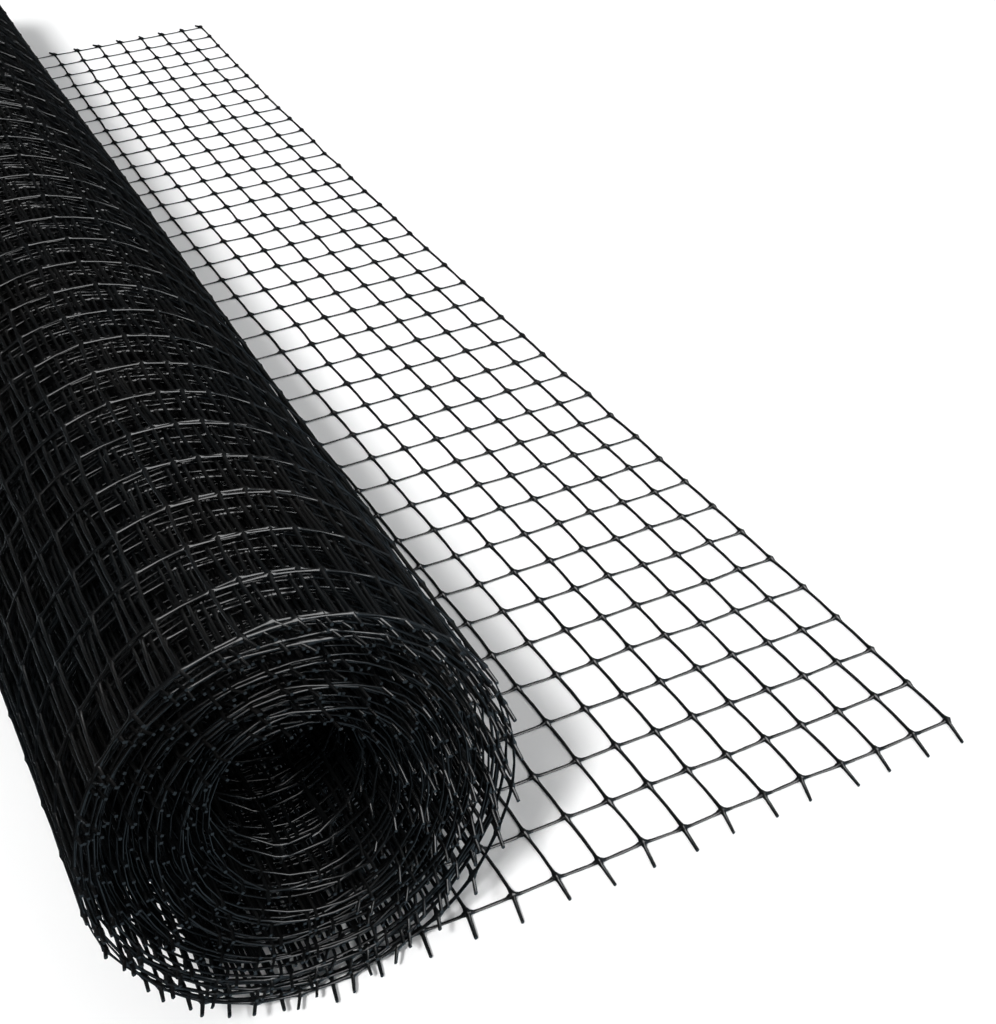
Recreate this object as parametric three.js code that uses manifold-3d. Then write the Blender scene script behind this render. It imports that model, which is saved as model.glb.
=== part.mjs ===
// A roll of square-mesh plastic netting lying on its side, with its loose end laid out flat on the floor.
// Millimetres, +Z up. The origin is on the floor under the middle of the roll. +Y runs along the roll
// from its near end to its far end, and the loose end leaves the roll's underside towards +X.
import * as THREE from 'three';
import { mergeVertices } from 'three/addons/utils/BufferGeometryUtils.js';
import Module from 'manifold-3d';

const wasm = await Module();
wasm.setup();

// Netting
const HOOP_PITCH = 15; // between the hoop wires, along the roll
const WIRE_PITCH = 11; // between the lengthwise wires, around the roll and across the loose end
const CELLS_ALONG = 39;
const STUB = HOOP_PITCH / 2; // cut wire end past the last hoop wire
const WIRE = 1.4; // thickness of the netting, and width of a wire
const HOOPS_LENGTH = CELLS_ALONG * HOOP_PITCH; // from the first hoop wire to the last
const NET_WIDTH = HOOPS_LENGTH + 2 * STUB;
const NEAR = -NET_WIDTH / 2;
const FAR = NET_WIDTH / 2;

// The solids carry about every second wire, so that the mesh reads at a coarser, even pitch
const HOOP_ROWS = 20; // cells along the roll
const ROW_PITCH = HOOPS_LENGTH / HOOP_ROWS;
const COLUMN_PITCH = 2 * WIRE_PITCH;

// Roll
const ROLL_RADIUS = 46.3;
const HOLLOW_RADIUS = 15.5;
const TURNS = 14;
const OUTER_SPACING = 2.3; // between the outer turns, which lie looser than the inner ones
const WALL_DEPTH = ROLL_RADIUS - HOLLOW_RADIUS - WIRE; // from the outer turn to the inner one
const INNER_SPACING = (2 * WALL_DEPTH) / TURNS - OUTER_SPACING;
const OVAL = 1.4; // added to the radius where the roll bulges, and taken off across it
const OVAL_ANGLE = THREE.MathUtils.degToRad(135); // the bulge, turned from the bottom towards the left
const FAR_GROWTH = 0.06; // the roll is wider at its far end, by this share
const FACETS = 26; // flats in one turn, about one cell each on the outer turn
const FACET_ANGLE = (2 * Math.PI) / FACETS;
const STATIONS = TURNS * FACETS + 1;

// Hoops that stand out on the outer turn
const HOOP_RISE = 0.4;
const HOOP_BASE = 2.6;

// Loose end
const LOOSE_CELLS = 14.5; // from under the middle of the roll to the free edge
const LOOSE_LENGTH = LOOSE_CELLS * WIRE_PITCH;
const LOOSE_COLUMNS = 7;
const ROOT_GAP = 0.3; // between the loose end and the roll's outer turn, which it carries on
const ROOT_EDGE = ROLL_RADIUS * (1 + FAR_GROWTH) * Math.tan(FACET_ANGLE / 2) + ROOT_GAP;
const ROOT_STRIP = 4;
const SKEW = 3.3; // how far the free edge strays from a line along the roll at its two ends
const BOW = 2.5;
const S_BEND = 0.9;
const CUT_MARGIN = 1; // how far a gap's cutter passes both faces of the sheet

// Place of a hoop wire along the roll
function hoopPlace(hoop) {
  return -HOOPS_LENGTH / 2 + hoop * ROW_PITCH;
}

// Places along the roll where the outer turn rises to a hoop or falls back from it
function hoopRows() {
  const rows = [{ y: NEAR, hoop: false }];
  for (let hoop = 0; hoop <= HOOP_ROWS; hoop += 1) {
    const middle = hoopPlace(hoop);
    rows.push({ y: middle - HOOP_BASE / 2, hoop: false });
    rows.push({ y: middle, hoop: true });
    rows.push({ y: middle + HOOP_BASE / 2, hoop: false });
  }
  rows.push({ y: FAR, hoop: false });
  return rows;
}

// Outer radius and direction of the winding at a station, counted from the outer end inwards.
// The first flat is the spot that the roll rests on, so the winding draws in only after it.
function winding(station) {
  const turn = Math.max(0, station - 1) / FACETS;
  const angle = (station - 0.5) * FACET_ANGLE;
  const drawnIn = OUTER_SPACING * turn - ((OUTER_SPACING - INNER_SPACING) * turn * turn) / (2 * TURNS);
  const round = ROLL_RADIUS - drawnIn;
  const bulge = turn > 0 ? (OVAL * round * Math.cos(2 * (angle - OVAL_ANGLE))) / ROLL_RADIUS : 0;
  return { angle, radius: round + bulge };
}

// A point of the winding, some depth under its outer face. Flats touch the round form at their middles,
// and the roll grows towards its far end from the line that it rests on.
function windingPoint(station, depth, y) {
  const { angle, radius } = winding(station);
  const corner = (radius - depth) / Math.cos(FACET_ANGLE / 2);
  const growth = 1 + (FAR_GROWTH * (y - NEAR)) / NET_WIDTH;
  return [-corner * Math.sin(angle) * growth, y, (ROLL_RADIUS - corner * Math.cos(angle)) * growth];
}

// The whole roll: one strip of netting wound from the floor up the left side and inwards
function rollGeometry() {
  const corners = [];
  // A face of three or more corners, anticlockwise from outside
  function face(...points) {
    for (let i = 2; i < points.length; i += 1) corners.push(...points[0], ...points[i - 1], ...points[i]);
  }

  const rows = hoopRows();
  const ribbed = (station) => station > 1 && station < FACETS;
  const outer = (station, row) => {
    const sunk = ribbed(station) && !row.hoop;
    return windingPoint(station, sunk ? HOOP_RISE : 0, row.y);
  };
  const inner = (station, y) => windingPoint(station, WIRE, y);
  const near = rows[0];
  const far = rows[rows.length - 1];

  // Outer face: the first turn with its hoops, then the plain turns under it
  for (let station = 0; station < FACETS; station += 1) {
    for (let i = 0; i + 1 < rows.length; i += 1) {
      face(
        outer(station, rows[i]),
        outer(station + 1, rows[i]),
        outer(station + 1, rows[i + 1]),
        outer(station, rows[i + 1]),
      );
    }
  }
  face(outer(FACETS + 1, near), outer(FACETS + 1, far), ...rows.map((row) => outer(FACETS, row)).reverse());
  for (let station = FACETS + 1; station < STATIONS; station += 1) {
    face(outer(station, near), outer(station + 1, near), outer(station + 1, far), outer(station, far));
  }

  // Inner face and the two ends of the roll
  for (let station = 0; station < STATIONS; station += 1) {
    const next = station + 1;
    face(inner(station, NEAR), inner(station, FAR), inner(next, FAR), inner(next, NEAR));
    face(outer(next, near), outer(station, near), inner(station, NEAR), inner(next, NEAR));
    face(outer(station, far), outer(next, far), inner(next, FAR), inner(station, FAR));
  }

  // Outer and inner ends of the strip
  face(inner(0, NEAR), ...rows.map((row) => outer(0, row)), inner(0, FAR));
  face(outer(STATIONS, near), inner(STATIONS, NEAR), inner(STATIONS, FAR), outer(STATIONS, far));

  const geometry = new THREE.BufferGeometry();
  geometry.setAttribute('position', new THREE.Float32BufferAttribute(corners, 3));
  return mergeVertices(geometry);
}

// How far the loose end strays towards +X at a place along the roll
function stray(y) {
  const s = (-2 * y) / HOOPS_LENGTH; // 1 at the near edge and -1 at the far edge
  return SKEW * s + BOW * (2 * s * s - 1) - S_BEND * (4 * s ** 3 - 3 * s);
}

// A point of the loose end, some distance in from its free edge
function loosePoint(fromFreeEdge, y) {
  return new THREE.Vector2(LOOSE_LENGTH - fromFreeEdge + stray(y), y);
}

// Outline of the loose end, with the cut wire ends as teeth along its near and far edges
function looseOutline() {
  const half = WIRE / 2;
  const hoopEdge = HOOPS_LENGTH / 2 + half;
  const points = [new THREE.Vector2(ROOT_EDGE, -hoopEdge)];
  for (let column = LOOSE_COLUMNS - 1; column >= 0; column -= 1) {
    const wire = column * COLUMN_PITCH;
    points.push(loosePoint(wire + half, -hoopEdge), loosePoint(wire + half, NEAR));
    points.push(loosePoint(wire - half, NEAR));
    if (column > 0) points.push(loosePoint(wire - half, -hoopEdge));
  }
  for (let hoop = 0; hoop <= HOOP_ROWS; hoop += 1) points.push(loosePoint(-half, hoopPlace(hoop)));
  for (let column = 0; column < LOOSE_COLUMNS; column += 1) {
    const wire = column * COLUMN_PITCH;
    if (column > 0) points.push(loosePoint(wire - half, hoopEdge));
    points.push(loosePoint(wire - half, FAR), loosePoint(wire + half, FAR));
    points.push(loosePoint(wire + half, hoopEdge));
  }
  points.push(new THREE.Vector2(ROOT_EDGE, hoopEdge));
  return points;
}

// The four corners of one gap of the loose end, counted from the free edge and from the near edge
function gapOutline(column, row) {
  const half = WIRE / 2;
  const low = hoopPlace(row) + half;
  const high = hoopPlace(row + 1) - half;
  const right = column * COLUMN_PITCH + half;
  const left = right + COLUMN_PITCH - WIRE;
  const atRoot = column === LOOSE_COLUMNS - 1;
  const leftPoint = (y) => (atRoot ? new THREE.Vector2(ROOT_EDGE + ROOT_STRIP, y) : loosePoint(left, y));
  return [leftPoint(low), loosePoint(right, low), loosePoint(right, high), leftPoint(high)];
}

// A flat outline as a closed solid, from a bottom height upwards
function flatSolid(outline, bottom, height) {
  const shape = new THREE.Shape(outline);
  const geometry = new THREE.ExtrudeGeometry(shape, { depth: height, bevelEnabled: false });
  geometry.translate(0, 0, bottom);
  geometry.deleteAttribute('normal');
  geometry.deleteAttribute('uv');
  const merged = mergeVertices(geometry);
  const vertProperties = new Float32Array(merged.attributes.position.array);
  const triVerts = new Uint32Array(merged.index.array);
  return new wasm.Manifold(new wasm.Mesh({ numProp: 3, vertProperties, triVerts }));
}

// The flat sheet of netting that lies free of the roll, cut through at every gap
function looseGeometry() {
  let sheet = flatSolid(looseOutline(), 0, WIRE);
  for (let column = 0; column < LOOSE_COLUMNS; column += 1) {
    for (let row = 0; row < HOOP_ROWS; row += 1) {
      sheet = sheet.subtract(flatSolid(gapOutline(column, row), -CUT_MARGIN, WIRE + 2 * CUT_MARGIN));
    }
  }
  const mesh = sheet.getMesh();
  const geometry = new THREE.BufferGeometry();
  geometry.setAttribute('position', new THREE.BufferAttribute(mesh.vertProperties, 3));
  geometry.setIndex(new THREE.BufferAttribute(mesh.triVerts, 1));
  return geometry;
}

function plastic() {
  return new THREE.MeshStandardMaterial({ color: 0x14171a, roughness: 0.42, metalness: 0 });
}

const netting = new THREE.Group();

const roll = new THREE.Mesh(rollGeometry(), plastic());
roll.name = 'roll';
netting.add(roll);

const looseEnd = new THREE.Mesh(looseGeometry(), plastic());
looseEnd.name = 'loose_end';
netting.add(looseEnd);

export default netting;
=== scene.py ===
import math

import bpy
import numpy as np
from mathutils import Matrix, Vector


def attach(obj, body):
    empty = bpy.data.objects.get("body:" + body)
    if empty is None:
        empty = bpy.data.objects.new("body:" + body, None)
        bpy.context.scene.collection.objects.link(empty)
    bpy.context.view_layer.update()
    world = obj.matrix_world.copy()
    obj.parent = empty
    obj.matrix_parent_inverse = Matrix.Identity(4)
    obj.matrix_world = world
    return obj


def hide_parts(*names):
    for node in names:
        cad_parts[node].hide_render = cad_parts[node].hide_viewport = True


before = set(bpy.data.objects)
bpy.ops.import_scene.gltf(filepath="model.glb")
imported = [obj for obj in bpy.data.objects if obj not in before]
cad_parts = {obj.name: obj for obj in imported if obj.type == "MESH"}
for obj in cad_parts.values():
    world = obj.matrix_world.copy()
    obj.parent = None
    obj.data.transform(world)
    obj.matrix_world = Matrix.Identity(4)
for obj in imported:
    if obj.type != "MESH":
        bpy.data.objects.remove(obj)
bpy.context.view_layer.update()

# A roll of black plastic netting made wire by wire: every hoop wire and every lengthwise wire of its
# wound turns and of the loose end that lies flat on the floor. Sizes are in millimetres up to the point
# where a mesh is made. A place on the net is given by its length along the net, counted from under the
# middle of the roll, positive into the roll and negative towards the free edge, and by its y along the roll.
# Angles of the winding are counted from the bottom of the roll and up its left side.

METRES = 0.001
FULL_TURN = 2 * math.pi
rng = np.random.default_rng(17)

# Netting
HOOP_PITCH = 15.0  # between the hoop wires, along the roll
WIRE_PITCH = 11.0  # between the lengthwise wires, around the roll and across the loose end
HOOPS = 40
HOOPS_LENGTH = (HOOPS - 1) * HOOP_PITCH
HOOP_WAVE = 1.4  # hoop wires lie closer and wider in turn
HOOP_WAVE_CELLS = 18.5
HOOP_WAVE_START = 22.5
STUB = 7.5  # cut wire end past the near edge's hoop wire, on the loose end
WOUND_STUB = 4.2  # the same on the outer turns
INNER_STUB = 2.6  # and on the inner turns
FAR_STUB = 3.5  # past the far edge's hoop wire
THICKNESS = 1.4  # at a crossing
NET_WIDTH = HOOPS_LENGTH + 2 * STUB

# Roll
ROLL_RADIUS = 46.3
HOLLOW_RADIUS = 15.5
TURNS = 33
SPACING = (ROLL_RADIUS - HOLLOW_RADIUS - THICKNESS) / TURNS
SLACK = 4.0  # the outer turns lie loose low on the right, by this much in all
SLACK_TURNS = 4.0
SLACK_ANGLE = -0.9
SLACK_SHARPNESS = 4
TIGHT = 2.0  # elsewhere the outer turns are pulled tight, by this much
REST_ANGLE = math.pi / 26  # half of the flat spot that the roll rests on
OVAL = 1.4  # added to the radius where the roll bulges, and taken off across it
OVAL_ANGLE = math.radians(135)
OVAL_RISE = 4 * REST_ANGLE  # the bulge sets in over this angle
FLARE = 0.8  # the outer turns stand wider at both ends of the roll
FLARE_TURNS = 6
FLARE_SHARPNESS = 4
FAR_GROWTH = 0.06  # the roll is wider at its far end, by this share
STEPS_IN_TURN = 360  # of the table that the winding is kept in

# Unevenness of the turns: three waves, by their heights and their lengths along the net for each radian
WAVE_HEIGHTS = (0.22, 0.18, 0.15)
WAVE_LENGTHS = (9.7, 23.0, 5.3)
SWAY = 1.5  # the first wave sways along the roll
SWAY_LENGTH = 61
LEAN_LENGTH = 47  # the second one leans along it
LEAN_START = 0.7
BACK_LEAN_LENGTH = 83  # the third one leans the other way
WAVES_RISE = 40  # the waves set in over this length of net

# Drift of the net along the roll
HOOP_SHIFT = -1.2  # where the loose end leaves the roll
HOOP_SLOPE = 0.0113  # from there towards the free edge
HOOP_SHIFT_FADE = 60
TURN_SHIFT = -3.2  # how far the outer turns stray towards the near end, low on the left
TURN_SHIFT_ANGLE = 0.9
TURN_SHIFT_REACH = 1.4
TURN_SHIFT_TURNS = 3.0
TURN_SHIFT_GROWTH = 0.5  # more in each turn under the first one
TURN_SHIFT_START = 0.3  # share of it under the middle of the roll
TURN_SHIFT_RISE = 30
WANDER = 2.4  # towards the far end on top of the roll and back under it
OUTER_SPREAD = 1.0  # to and fro along the roll, from turn to turn
INNER_SPREAD = 4.0
SPREAD_STEP = 0.17  # of a whole wave, from turn to turn
SPREAD_START = math.radians(-60)
WANDER_RISE = 120  # wander and spread set in over this length of net
RECESS = 10.0  # how far the inner turns stand back at the near end
RECESS_TURNS = 12

# Loose end
LOOSE_LENGTH = 159.5
ROOT = 8.0  # where the loose end starts, from under the middle of the roll
SKEW = 3.3  # how far its wires stray from lines along the roll
BOW = 2.5
S_BEND = 0.9
STRAY_FADE = 250  # length of net in the roll over which that fades
EDGE_DRAW = 1.0  # how far the free edge is drawn in
EDGE_REACH = 2.5  # in cells
FAR_DRAW = 1.7  # share of that added towards the far end
FAR_DRAW_SHARPNESS = 3

# Wires: half width and half height between crossings, half width at a crossing, and reach of its swelling
LENGTHWISE = {"thin": 0.383, "flat": 0.415, "node": 0.86, "reach": 1.15}
HOOP = {"thin": 0.42, "flat": 0.15, "node": 0.86, "reach": 1.15}
NODE_HEIGHT = THICKNESS / 2
WIRE_BOW = 0.25  # each lengthwise wire arches a little between two hoops
WOUND_BOW = 0.35
STUB_LEAN = 1.2  # cut ends turn a little towards the roll
STUB_STRAY = 0.45  # and stray from that
STUB_CHANGE = (-0.9, 0.25)  # cut ends are shorter or longer by up to this much
STUB_POINT = 1.3  # a point between a cut end and its crossing, in reaches of the swelling
ROUGH_LOOSE = 0.16  # how far a crossing strays from its place
ROUGH_WOUND = 0.3
ROUGH_INNER = 0.7
ROUGH_WIDTH = 0.06


# Shape of the winding

def drawn_in(angle):
    """How far the net has drawn in from the roll's outer radius."""
    turn = np.maximum(0, angle - REST_ANGLE) / FULL_TURN
    loose = ((1 + np.cos(angle - SLACK_ANGLE)) / 2) ** SLACK_SHARPNESS
    slack = SLACK * loose - TIGHT * (1 - loose)
    slack *= (1 - np.exp(-turn / SLACK_TURNS)) * (1 - turn / TURNS)
    return SPACING * turn + slack


def winding_table():
    """Angle from the bottom, radius of the middle of the net and length along it, at close steps."""
    angle = np.linspace(0, FULL_TURN * TURNS + REST_ANGLE, TURNS * STEPS_IN_TURN)
    round_radius = ROLL_RADIUS - drawn_in(angle)
    started = np.clip(angle / OVAL_RISE, 0, 1)
    bulge = OVAL * round_radius / ROLL_RADIUS * np.cos(2 * (angle - OVAL_ANGLE)) * started
    radius = round_radius + bulge - THICKNESS / 2
    x = -radius * np.sin(angle)
    z = ROLL_RADIUS - radius * np.cos(angle)
    length = np.concatenate([[0], np.cumsum(np.hypot(np.diff(x), np.diff(z)))])
    return angle, radius, length


WINDING_ANGLE, WINDING_RADIUS, WINDING_LENGTH = winding_table()
NET_END = WINDING_LENGTH[-1]
WIRES = int((NET_END + LOOSE_LENGTH) / WIRE_PITCH) + 1


def unevenness(along, y):
    """How far the turns stand out or sink in, here and there."""
    shifts = (SWAY * np.sin(y / SWAY_LENGTH), y / LEAN_LENGTH + LEAN_START, -y / BACK_LEAN_LENGTH)
    swell = np.zeros_like(along)
    for height, length, shift in zip(WAVE_HEIGHTS, WAVE_LENGTHS, shifts):
        swell += height * np.sin(along / length + shift)
    return swell * np.clip(along / WAVES_RISE, 0, 1)


def lay_out(along, y):
    """Points of the net, with their directions along it and outwards."""
    angle = np.interp(along, WINDING_LENGTH, WINDING_ANGLE)
    near_ends = (2 * y / HOOPS_LENGTH) ** FLARE_SHARPNESS
    flare = FLARE * near_ends * np.clip(1 - angle / (FULL_TURN * FLARE_TURNS), 0, 1)
    radius = np.interp(along, WINDING_LENGTH, WINDING_RADIUS) + unevenness(along, y) + flare
    free = np.maximum(0, -along)
    growth = 1 + FAR_GROWTH * (y / NET_WIDTH + 0.5)
    x = -radius * np.sin(angle) * growth + free
    z = np.maximum((ROLL_RADIUS - radius * np.cos(angle)) * growth, THICKNESS / 2)
    point = np.stack([x, y, z], axis=-1)
    zero = np.zeros_like(angle)
    onwards = np.stack([-np.cos(angle), zero, np.sin(angle)], axis=-1)
    outwards = np.stack([-np.sin(angle), zero, -np.cos(angle)], axis=-1)
    return point, onwards, outwards


# Places of the crossings

def stray(y):
    """How far the loose end strays towards its free edge at a place along the roll."""
    s = -2 * y / HOOPS_LENGTH  # 1 at the near edge and -1 at the far edge
    return SKEW * s + BOW * (2 * s**2 - 1) - S_BEND * (4 * s**3 - 3 * s)


def axial_drift(along):
    """How far the net wanders along the roll, within each turn and from turn to turn."""
    angle = np.interp(along, WINDING_LENGTH, WINDING_ANGLE)
    turn = angle / FULL_TURN
    within = -WANDER * np.cos(angle)
    spread = OUTER_SPREAD + (INNER_SPREAD - OUTER_SPREAD) * turn / TURNS
    between_turns = spread * np.sin(FULL_TURN * SPREAD_STEP * turn + SPREAD_START)
    from_shift = (angle - TURN_SHIFT_ANGLE + math.pi) % FULL_TURN - math.pi
    fade = np.exp(-((turn / TURN_SHIFT_TURNS) ** 2))
    shift = TURN_SHIFT * (1 + TURN_SHIFT_GROWTH * turn) * np.exp(-((from_shift / TURN_SHIFT_REACH) ** 2))
    off_floor = np.clip(along / TURN_SHIFT_RISE + TURN_SHIFT_START, 0, 1)
    start = HOOP_SHIFT + HOOP_SLOPE * np.maximum(0, -along)
    start *= 1 - np.clip(along / HOOP_SHIFT_FADE, 0, 1)
    wound = np.clip(along / WANDER_RISE, 0, 1)
    return start + shift * off_floor * fade + (within + between_turns) * wound


def recess(along, level):
    """How far the inner turns stand back at the near end of the roll, fading out towards its far end."""
    turn = np.interp(along, WINDING_LENGTH, WINDING_ANGLE) / FULL_TURN
    inner = np.clip(1 - (TURNS - turn) / RECESS_TURNS, 0, 1)
    nearness = 0.5 - level / HOOPS_LENGTH
    return RECESS * inner**2 * nearness


def crossings():
    """Length along the net and place along the roll of every crossing, by wire and by hoop."""
    wire, hoop = np.meshgrid(np.arange(WIRES), np.arange(HOOPS), indexing="ij")
    level = -HOOPS_LENGTH / 2 + hoop * HOOP_PITCH
    along = wire * WIRE_PITCH - LOOSE_LENGTH
    wound = np.clip(along / STRAY_FADE, 0, 1)
    far = np.maximum(0, 2 * level / HOOPS_LENGTH) ** FAR_DRAW_SHARPNESS
    drawn = EDGE_DRAW * np.exp(-wire / EDGE_REACH) * (1 + FAR_DRAW * far)
    wave = HOOP_WAVE * np.cos(FULL_TURN * (hoop - HOOP_WAVE_START) / HOOP_WAVE_CELLS)
    rough_wound = ROUGH_WOUND + (ROUGH_INNER - ROUGH_WOUND) * along / NET_END
    rough = np.where(along < 0, ROUGH_LOOSE, rough_wound)
    place_along = along - stray(level) * (1 - wound) + drawn + rng.normal(0, 1, along.shape) * rough
    place_y = level + axial_drift(along) + recess(along, level) + wave
    place_y += rng.normal(0, 1, along.shape) * rough
    return place_along, place_y


CROSS_ALONG, CROSS_Y = crossings()


def between(table, place, axis):
    """Values of a crossing table at places between its rows or columns, straight on past its ends."""
    low = np.clip(np.floor(place).astype(int), 0, table.shape[axis] - 2)
    shape = [1, 1]
    shape[axis] = -1
    part = (place - low).reshape(shape)
    return np.take(table, low, axis) * (1 - part) + np.take(table, low + 1, axis) * part


# Wires as tubes

def thickness_at(distance, wire, swollen):
    """Half width and half height of a wire at a distance from its nearest crossing."""
    swelling = swollen * np.exp(-((distance / wire["reach"]) ** 2))
    width = wire["thin"] + (wire["node"] - wire["thin"]) * swelling
    height = wire["flat"] + (NODE_HEIGHT - wire["flat"]) * swelling
    return width, height


def rest_on_floor(centre, along, height):
    """Lower the loose end's wires between their crossings, so that they lie on the floor."""
    centre[..., 2] = np.where(along < 0, height, centre[..., 2])


def tubes(centre, across, outwards, width, height, sides):
    """Closed tubes, one for each row of points: their corners, side faces and end faces."""
    count, steps = centre.shape[:2]
    turn = FULL_TURN * (np.arange(sides) + 0.5) / sides
    fullness = math.pi / sides / math.sin(math.pi / sides)  # same girth as the oval
    reach_across = (width[:, :, None] * np.cos(turn) * fullness)[..., None] * across[:, :, None, :]
    reach_out = (height[:, :, None] * np.sin(turn) * fullness)[..., None] * outwards[:, :, None, :]
    corners = (centre[:, :, None, :] + reach_across + reach_out).reshape(-1, 3)
    tube = np.arange(count) * steps * sides
    base = tube[:, None, None] + (np.arange(steps - 1) * sides)[None, :, None]
    side = np.arange(sides)[None, None, :]
    after = (side + 1) % sides
    quads = np.stack([base + side, base + after, base + sides + after, base + sides + side], axis=-1)
    start_caps = tube[:, None] + np.arange(sides)[::-1]
    end_caps = tube[:, None] + (steps - 1) * sides + np.arange(sides)
    return {"corners": corners, "quads": quads, "caps": np.stack([start_caps, end_caps], axis=1)}


def cell_steps(pitch, offsets, middle):
    """Places of a wire's points within one cell: at a crossing, at some distances from it, and halfway."""
    near = np.array(offsets) / pitch
    halfway = [0.5] if middle else []
    return np.concatenate([[0.0], near, halfway, 1 - near[::-1]])


def lengthwise_wires(wires, offsets, middle, sides, swollen):
    """The wires along the roll, each with its cut ends past the last hoops."""
    cells = np.arange(HOOPS - 1)[:, None] + cell_steps(HOOP_PITCH, offsets, middle and swollen)[None, :]
    last = HOOPS - 1
    stub_point = LENGTHWISE["reach"] * STUB_POINT / HOOP_PITCH
    near_tip = STUB / HOOP_PITCH
    far_tip = FAR_STUB / HOOP_PITCH
    place = np.concatenate([[-near_tip, -stub_point], cells.ravel(), [last, last + stub_point, last + far_tip]])
    past_end = np.maximum(np.maximum(-place, place - last), 0)
    part = place - np.floor(place)
    arch = np.where(past_end > 0, 0, 4 * part * (1 - part))
    end = np.where(place < 0, 0, 1)
    stub_share = past_end / np.where(place < 0, near_tip, far_tip)
    outwards_y = np.where(place < 0, -1, 1)

    wound = np.clip(CROSS_ALONG[wires, :1] / WIRE_PITCH, 0, 1)
    deep = np.sqrt(np.clip(CROSS_ALONG[wires, :1] / NET_END, 0, 1))
    shorter = wound * (STUB - WOUND_STUB) + deep * (WOUND_STUB - INNER_STUB)
    shorter = np.concatenate([shorter, np.zeros_like(shorter)], axis=1)
    longer = rng.uniform(*STUB_CHANGE, (len(wires), 2)) - shorter
    turned = rng.normal(0, STUB_STRAY, (len(wires), 2))
    bow = WIRE_BOW + (WOUND_BOW - WIRE_BOW) * wound
    along = between(CROSS_ALONG[wires], place, 1) - bow * arch
    along += (STUB_LEAN + turned[:, end]) * stub_share
    y = between(CROSS_Y[wires], place, 1) + longer[:, end] * stub_share * outwards_y

    centre, onwards, outwards = lay_out(along, y)
    distance = np.where(past_end > 0, past_end, np.abs(place - np.round(place))) * HOOP_PITCH
    width, height = thickness_at(distance, LENGTHWISE, swollen)
    rest_on_floor(centre, along, height)
    uneven = 1 + ROUGH_WIDTH * rng.normal(0, 1, along.shape)
    return tubes(centre, -onwards, outwards, width * uneven, height * np.minimum(uneven, 1), sides)


def hoop_wires(first, last, offsets, middle, sides, swollen):
    """The wires around the roll, or across the loose end, from one place on the net to another."""
    low = math.ceil(first)
    high = math.floor(last)
    cells = np.arange(low, high)[:, None] + cell_steps(WIRE_PITCH, offsets, middle)[None, :]
    place = np.unique(np.concatenate([[first], cells.ravel(), [high, last]]))
    along = between(CROSS_ALONG, place, 0).T
    y = between(CROSS_Y, place, 0).T
    centre, onwards, outwards = lay_out(along, y)
    across = np.zeros_like(centre)
    across[..., 1] = 1
    width, height = thickness_at(np.abs(place - np.round(place)) * WIRE_PITCH, HOOP, swollen)
    rest_on_floor(centre, along, height)
    uneven = 1 + ROUGH_WIDTH * rng.normal(0, 1, along.shape)
    return tubes(centre, across, outwards, width * uneven, height * np.minimum(uneven, 1), sides)


# Meshes from the tubes

# Bake map, one tube in each row
MAP_MARGIN = 0.03  # before and after a tube's sides
ROW_MARGIN = 0.05  # under and over them, as a share of the row
CAP_PLACES = (0.015, 0.985)  # the cut ends, in the margins
CAP_WIDTH = 0.004
CAP_HEIGHT = 0.4  # as a share of the row


def add_object(name, data):
    """A new object in the scene."""
    added = bpy.data.objects.new(name, data)
    bpy.context.scene.collection.objects.link(added)
    return added


def bake_places(tube_sets):
    """Places on the bake map: a row for each tube, its length across and its sides stacked up the row."""
    rows = sum(len(tube_set["caps"]) for tube_set in tube_sets)
    first = 0
    places = []
    for tube_set in tube_sets:
        count, steps, sides = tube_set["quads"].shape[:3]
        row = (first + np.arange(count))[:, None, None, None]
        step = np.arange(steps)[None, :, None, None] + np.array([0, 0, 1, 1])
        side = np.arange(sides)[None, None, :, None] + np.array([0, 1, 1, 0])
        u = MAP_MARGIN + (1 - 2 * MAP_MARGIN) * step / steps
        v = (row + ROW_MARGIN + (1 - 2 * ROW_MARGIN) * side / sides) / rows
        places.append(np.stack(np.broadcast_arrays(u, v), axis=-1).reshape(-1, 2))
        turn = FULL_TURN * np.arange(sides) / sides
        cap_u = np.array(CAP_PLACES)[None, :, None] + CAP_WIDTH * np.cos(turn)
        cap_v = ((first + np.arange(count))[:, None, None] + 0.5 + CAP_HEIGHT * np.sin(turn)) / rows
        places.append(np.stack(np.broadcast_arrays(cap_u, cap_v), axis=-1).reshape(-1, 2))
        first += count
    return np.concatenate(places)


def joined_faces(tube_sets):
    """Corners of all the faces one after another, how many each face has, and whether it is smooth."""
    loops = []
    sizes = []
    smooth = []
    count = 0
    for tube_set in tube_sets:
        for faces, is_smooth in ((tube_set["quads"], True), (tube_set["caps"], False)):
            total = faces.size // faces.shape[-1]
            loops.append((faces + count).ravel())
            sizes.append(np.full(total, faces.shape[-1]))
            smooth.append(np.full(total, is_smooth))
        count += len(tube_set["corners"])
    loops = np.concatenate(loops).astype(np.int32)
    sizes = np.concatenate(sizes).astype(np.int32)
    return loops, sizes, np.concatenate(smooth)


def sharpen(mesh, in_cut_end):
    """Mark the edges of the cut ends as sharp, given whether each corner of a face is in one."""
    edges = np.empty(len(in_cut_end), dtype=np.int32)
    mesh.loops.foreach_get("edge_index", edges)
    sharp = np.zeros(len(mesh.edges), dtype=bool)
    sharp[edges[in_cut_end]] = True
    mesh.edges.foreach_set("use_edge_sharp", sharp)


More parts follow.
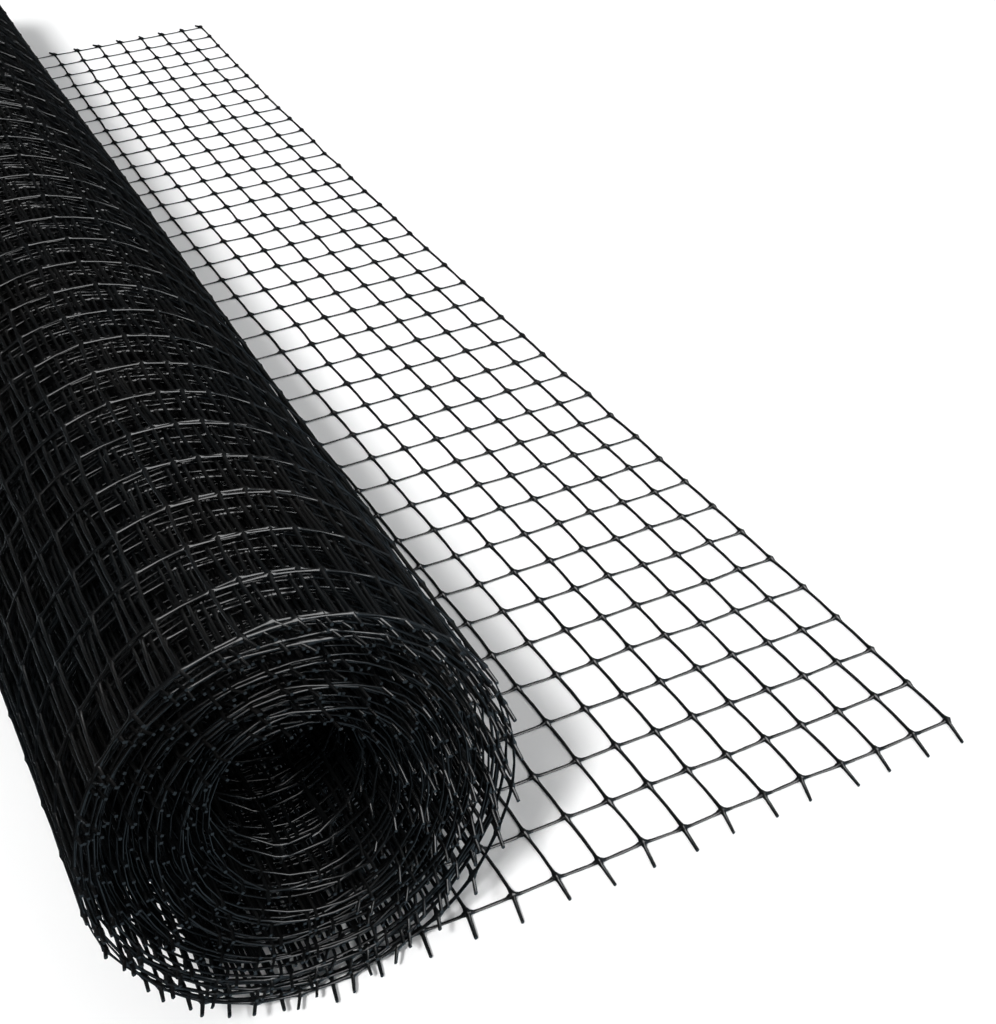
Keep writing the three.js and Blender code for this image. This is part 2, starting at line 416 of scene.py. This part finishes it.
def make_mesh(name, tube_sets):
    """One object of all the tubes in the sets, in metres, with smooth sides and flat cut ends."""
    corners = np.concatenate([tube_set["corners"] for tube_set in tube_sets]) * METRES
    loops, sizes, smooth = joined_faces(tube_sets)
    starts = np.concatenate([[0], np.cumsum(sizes)[:-1]]).astype(np.int32)
    mesh = bpy.data.meshes.new(name)
    mesh.vertices.add(len(corners))
    mesh.vertices.foreach_set("co", corners.astype(np.float32).ravel())
    mesh.loops.add(len(loops))
    mesh.loops.foreach_set("vertex_index", loops)
    mesh.polygons.add(len(sizes))
    mesh.polygons.foreach_set("loop_start", starts)
    mesh.polygons.foreach_set("loop_total", sizes)
    mesh.polygons.foreach_set("use_smooth", smooth)
    mesh.update(calc_edges=True)
    sharpen(mesh, np.repeat(~smooth, sizes))
    bake_map = mesh.uv_layers.new(name="OFBake")
    bake_map.data.foreach_set("uv", bake_places(tube_sets).astype(np.float32).ravel())
    mesh.validate()
    return add_object(name, mesh)


# Pieces of the net, each a stretch of it counted in wires from the free edge

ROOT_PLACE = (LOOSE_LENGTH - ROOT) / WIRE_PITCH
# Finenesses of the pieces: points on both sides of a crossing, a point halfway, sides of a wire, and
# whether a wire swells at its crossings
FINE = {"offsets": (0.8, 1.6, 2.8), "middle": True, "sides": 7, "swollen": True}
MEDIUM = {"offsets": (1.5,), "middle": True, "sides": 6, "swollen": True}
COARSE = {"offsets": (1.6,), "middle": False, "sides": 4, "swollen": True}
HIDDEN = {"offsets": (), "middle": True, "sides": 4, "swollen": False}
OUTER_GROUPS = [(48, MEDIUM), (90, COARSE)]  # wires in each piece from the outer turn inwards
HIDDEN_GROUP = 180
INNER_WIRES = 24  # the inner turns, seen in the hollow


def net_piece(name, first, last, fineness):
    """One stretch of the net, with its lengthwise wires and its hoop wires."""
    wires = np.arange(math.ceil(first), math.ceil(last))
    lengthwise = lengthwise_wires(wires, **fineness)
    hoops = hoop_wires(first, last, **fineness)
    return make_mesh(name, [lengthwise, hoops])


def wound_groups():
    """Numbers of wires and finenesses of the pieces of the roll, from the outer turn inwards."""
    left = WIRES - 1 - ROOT_PLACE - sum(count for count, fineness in OUTER_GROUPS) - INNER_WIRES
    hidden = []
    while left > 0:
        hidden.append((min(left, HIDDEN_GROUP), HIDDEN))
        left -= HIDDEN_GROUP
    return [*OUTER_GROUPS, *hidden, (INNER_WIRES, COARSE)]


def net_pieces():
    """The loose end, and the pieces of the roll."""
    loose = net_piece("loose_net", 0, ROOT_PLACE, FINE)
    wound = []
    start = ROOT_PLACE
    for count, fineness in wound_groups():
        wound.append(net_piece(f"turns_{len(wound) + 1}", start, start + count, fineness))
        start += count
    return loose, wound


# Materials

PLASTIC_TONES = [  # place on the noise, and colour
    (0.32, (0.0027, 0.0025, 0.0024)),
    (0.68, (0.0019, 0.0026, 0.0031)),
]
TONE_NOISE = {"scale": 34, "detail": 3}
GLOSS_NOISE = {"scale": 420, "detail": 4}
GRAIN_NOISE = {"scale": 1500, "detail": 2}
ROUGHNESS = (0.4, 0.6)
SPECULAR = 0.1
COAT = 0.8
COAT_ROUGHNESS = 0.24
GRAIN_STRENGTH = 0.25
GRAIN_DEPTH = 0.00012


def node_material(name):
    """A new material, with its nodes, links and main shader."""
    material = bpy.data.materials.new(name)
    material.use_nodes = True
    nodes = material.node_tree.nodes
    return material, nodes, material.node_tree.links, nodes["Principled BSDF"]


def noise(nodes, links, place, scale, detail):
    """Noise fixed to the object."""
    texture = nodes.new("ShaderNodeTexNoise")
    texture.inputs["Scale"].default_value = scale
    texture.inputs["Detail"].default_value = detail
    links.new(place.outputs["Object"], texture.inputs["Vector"])
    return texture.outputs["Fac"]


def colour_ramp(nodes, links, share, tones):
    """Colours for a share from 0 to 1, by rows of a place and its colour."""
    ramp = nodes.new("ShaderNodeValToRGB")
    elements = ramp.color_ramp.elements
    while len(elements) < len(tones):
        elements.new(1)
    for element, (position, colour) in zip(elements, tones):
        element.position = position
        element.color = (*colour, 1)
    links.new(share, ramp.inputs["Fac"])
    return ramp.outputs["Color"]


def netting_plastic():
    """Black extruded plastic: slightly uneven in tone and gloss, with a fine grain."""
    material, nodes, links, shader = node_material("netting_plastic")
    place = nodes.new("ShaderNodeTexCoord")

    tone = noise(nodes, links, place, **TONE_NOISE)
    links.new(colour_ramp(nodes, links, tone, PLASTIC_TONES), shader.inputs["Base Color"])

    gloss = noise(nodes, links, place, **GLOSS_NOISE)
    spread = nodes.new("ShaderNodeMapRange")
    spread.inputs["To Min"].default_value = ROUGHNESS[0]
    spread.inputs["To Max"].default_value = ROUGHNESS[1]
    links.new(gloss, spread.inputs["Value"])
    links.new(spread.outputs["Result"], shader.inputs["Roughness"])

    shader.inputs["Specular IOR Level"].default_value = SPECULAR
    shader.inputs["Coat Weight"].default_value = COAT
    shader.inputs["Coat Roughness"].default_value = COAT_ROUGHNESS

    grain = noise(nodes, links, place, **GRAIN_NOISE)
    bump = nodes.new("ShaderNodeBump")
    bump.inputs["Strength"].default_value = GRAIN_STRENGTH
    bump.inputs["Distance"].default_value = GRAIN_DEPTH
    links.new(grain, bump.inputs["Height"])
    links.new(bump.outputs["Normal"], shader.inputs["Normal"])
    return material


# Floor, wall, light and camera

FLOOR_HALF = 8.0
FLOOR_DROP = 0.0002  # just under the wires that lie on it
FLOOR_COLOUR = (0.92, 0.92, 0.92, 1)
FLOOR_ROUGHNESS = 0.9
FLOOR_SPECULAR = 0.1
FLOOR_GLOW = 0.015  # the floor is lit from below too, as a light table is
WALL_RADIUS = 7.5
WALL_HEIGHT = 12.0
WALL_SIDES = 48
BLACK = (0, 0, 0, 1)
WHITE = (1, 1, 1, 1)

# Lamps by the direction they shine from, with their strength and how wide they spread.
# The floor's lamps leave no glint on the plastic, and those that do leave the floor alone.
FLOOR_LAMPS = {
    "floor_side": {"from": (-0.48, -0.44, 0.75), "strength": 3.0, "spread": 9},
    "floor_front": {"from": (-0.1, -0.8, 0.6), "strength": 0.9, "spread": 11},
    "floor_overhead": {"from": (0.0, -0.2, 0.98), "strength": 0.85, "spread": 70},
}
COOL = (0.9, 1, 1.08)
GLINT_LAMPS = {
    "glint_front": {"from": (0.3, -0.22, 0.93), "strength": 29.0, "size": 1.3, "colour": (1, 1, 1)},
    "glint_right": {"from": (0.65, -0.4, 0.65), "strength": 0.9, "size": 0.65, "colour": (0.82, 1, 1.14)},
    "flank_near": {"from": (-0.57, 0.56, -0.02), "strength": 0.13, "size": 0.08, "colour": COOL},
    "flank_middle": {"from": (-0.48, 0.7, -0.02), "strength": 0.05, "size": 0.08, "colour": COOL},
    "flank_far": {"from": (-0.41, 0.81, -0.01), "strength": 0.02, "size": 0.08, "colour": COOL},
}
GLINTS_ON = Vector((0.0, -0.25, 0.07))  # the near part of the roll, which these lamps stand around
GLINT_DISTANCE = 0.9
ROOM_LIT_FROM = (0.55, -0.42, -0.72)  # the side of the room that is brighter
ROOM_TONES = [  # place from the dark side to the bright side, and colour
    (0.0, (0.004, 0.0045, 0.005)),
    (0.5, (0.008, 0.009, 0.01)),
    (0.75, (0.19, 0.25, 0.3)),
    (1.0, (0.5, 0.67, 0.79)),
]

# Camera, fitted to the crossings of the loose end
CAMERA_PLACE = Vector((-62.17, -526.46, 285.08)) * METRES
CAMERA_LOOKS_AT = Vector((104.84, -158.22, 0)) * METRES
CAMERA_TILT = math.radians(-2.367)
CAMERA_NEAREST = 0.01
SENSOR_HEIGHT = 24
LENS = 39.51


def floor_white():
    """Matt white that glows faintly."""
    material, nodes, links, shader = node_material("floor_white")
    shader.inputs["Base Color"].default_value = FLOOR_COLOUR
    shader.inputs["Roughness"].default_value = FLOOR_ROUGHNESS
    shader.inputs["Specular IOR Level"].default_value = FLOOR_SPECULAR
    shader.inputs["Emission Color"].default_value = WHITE
    shader.inputs["Emission Strength"].default_value = FLOOR_GLOW
    return material


def wall_white():
    """Even white, whatever light falls on it."""
    material, nodes, links, shader = node_material("wall_white")
    shader.inputs["Base Color"].default_value = BLACK
    shader.inputs["Emission Color"].default_value = WHITE
    shader.inputs["Emission Strength"].default_value = 1
    return material


def make_floor():
    """A white floor, which the plastic doesn't mirror."""
    half = FLOOR_HALF
    corners = [(x, y, -FLOOR_DROP) for x, y in ((-half, -half), (half, -half), (half, half), (-half, half))]
    mesh = bpy.data.meshes.new("floor")
    mesh.from_pydata(corners, [], [(0, 1, 2, 3)])
    floor = add_object("floor", mesh)
    floor.data.materials.append(floor_white())
    floor.visible_glossy = False
    return floor


def make_lamp(name, kind, lamp):
    """A lamp that shines from its direction."""
    light = bpy.data.lights.new(name, kind)
    light.energy = lamp["strength"]
    holder = add_object(name, light)
    holder.rotation_euler = Vector(lamp["from"]).to_track_quat("Z", "Y").to_euler()
    return light, holder


def make_lamps():
    """The floor's lamps, and those that make glints on the plastic."""
    for name, lamp in FLOOR_LAMPS.items():
        light, holder = make_lamp(name, "SUN", lamp)
        light.angle = math.radians(lamp["spread"])
        holder.visible_glossy = False
    for name, lamp in GLINT_LAMPS.items():
        light, holder = make_lamp(name, "AREA", lamp)
        light.shape = "DISK"
        light.size = lamp["size"]
        light.color = lamp["colour"]
        holder.location = GLINTS_ON + GLINT_DISTANCE * Vector(lamp["from"]).normalized()
        holder.visible_diffuse = False
        holder.visible_camera = False


def make_room():
    """A dark room, brighter on one side, which the plastic mirrors."""
    world = bpy.data.worlds.new("room")
    world.use_nodes = True
    nodes = world.node_tree.nodes
    links = world.node_tree.links
    place = nodes.new("ShaderNodeTexCoord")
    towards = nodes.new("ShaderNodeVectorMath")
    towards.operation = "DOT_PRODUCT"
    towards.inputs[1].default_value = ROOM_LIT_FROM
    links.new(place.outputs["Generated"], towards.inputs[0])
    share = nodes.new("ShaderNodeMapRange")
    share.inputs["From Min"].default_value = -1
    links.new(towards.outputs["Value"], share.inputs["Value"])
    tones = colour_ramp(nodes, links, share.outputs["Result"], ROOM_TONES)
    links.new(tones, nodes["Background"].inputs["Color"])
    bpy.context.scene.world = world


def make_wall():
    """A white wall all round, which hides the room from the camera and lights nothing."""
    turn = FULL_TURN * np.arange(WALL_SIDES) / WALL_SIDES
    ring = np.stack([WALL_RADIUS * np.cos(turn), WALL_RADIUS * np.sin(turn)], axis=-1)
    corners = [(x, y, z) for z in (-FLOOR_DROP, WALL_HEIGHT) for x, y in ring.tolist()]
    faces = []
    for side in range(WALL_SIDES):
        after = (side + 1) % WALL_SIDES
        faces.append((side, after, after + WALL_SIDES, side + WALL_SIDES))
    mesh = bpy.data.meshes.new("wall")
    mesh.from_pydata(corners, [], faces)
    wall = add_object("wall", mesh)
    wall.data.materials.append(wall_white())
    wall.visible_glossy = False
    wall.visible_diffuse = False
    wall.visible_shadow = False


def make_camera():
    """The camera, in the photograph's place."""
    data = bpy.data.cameras.new("camera")
    data.sensor_fit = "VERTICAL"
    data.sensor_height = SENSOR_HEIGHT
    data.lens = LENS
    data.clip_start = CAMERA_NEAREST
    camera = add_object("camera", data)
    ahead = CAMERA_LOOKS_AT - CAMERA_PLACE
    level = ahead.to_track_quat("-Z", "Y").to_matrix()
    turned = level @ Matrix.Rotation(CAMERA_TILT, 3, "Z")
    camera.matrix_world = Matrix.Translation(CAMERA_PLACE) @ turned.to_4x4()
    bpy.context.scene.camera = camera


make_camera()
floor = make_floor()
make_lamps()
make_room()
make_wall()
bpy.context.scene.view_settings.view_transform = "Standard"

plastic = netting_plastic()
loose_net, wound_net = net_pieces()
for piece in [loose_net, *wound_net]:
    piece.data.materials.append(plastic)
    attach(piece, "root")
for piece in wound_net:
    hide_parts("roll")
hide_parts("loose_end")
